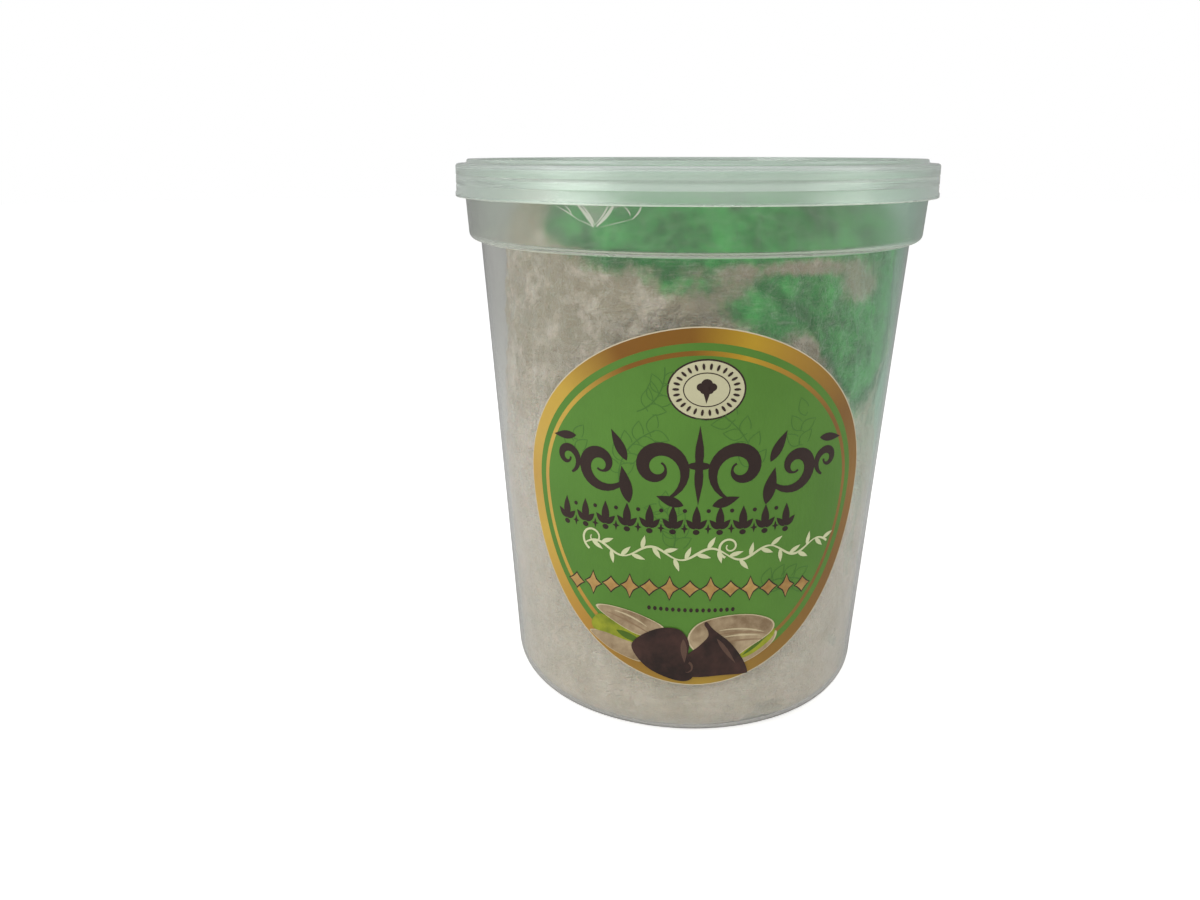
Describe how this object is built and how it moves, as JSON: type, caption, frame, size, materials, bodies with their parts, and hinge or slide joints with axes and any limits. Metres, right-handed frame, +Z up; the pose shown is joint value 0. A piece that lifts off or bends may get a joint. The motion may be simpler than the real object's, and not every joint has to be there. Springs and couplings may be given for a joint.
{
  "type": "tub of cotton candy",
  "caption": "Clear round plastic tub with a press-on lid, filled with white and green cotton candy in a thin bag, with an oval printed label on its front.",
  "frame": {"origin": "middle of the base, on the surface that the tub stands on", "axes": "+Z up the tub's own axis, -Y out of the side that carries the label, +X to the right as the label is seen"},
  "size_m": [0.119, 0.119, 0.1376],
  "materials": {
    "tub_plastic": "clear, slightly cloudy moulded polypropylene with a soft gloss",
    "lid_plastic": "milky translucent polypropylene with a satin gloss",
    "label_print": "semi-gloss printed sticker, leaf green with a gold border",
    "bag_film": "thin clear crinkled film",
    "white_floss": "matt spun sugar, off-white, packed and fibrous",
    "green_floss": "matt spun sugar, pistachio green, packed and fibrous"
  },
  "bodies": {
    "root": {"tub": "tub_plastic", "lid": "lid_plastic", "label": "label_print", "bag": "bag_film", "floss_white": "white_floss", "floss_green": "green_floss"}
  },
  "joints": []
}
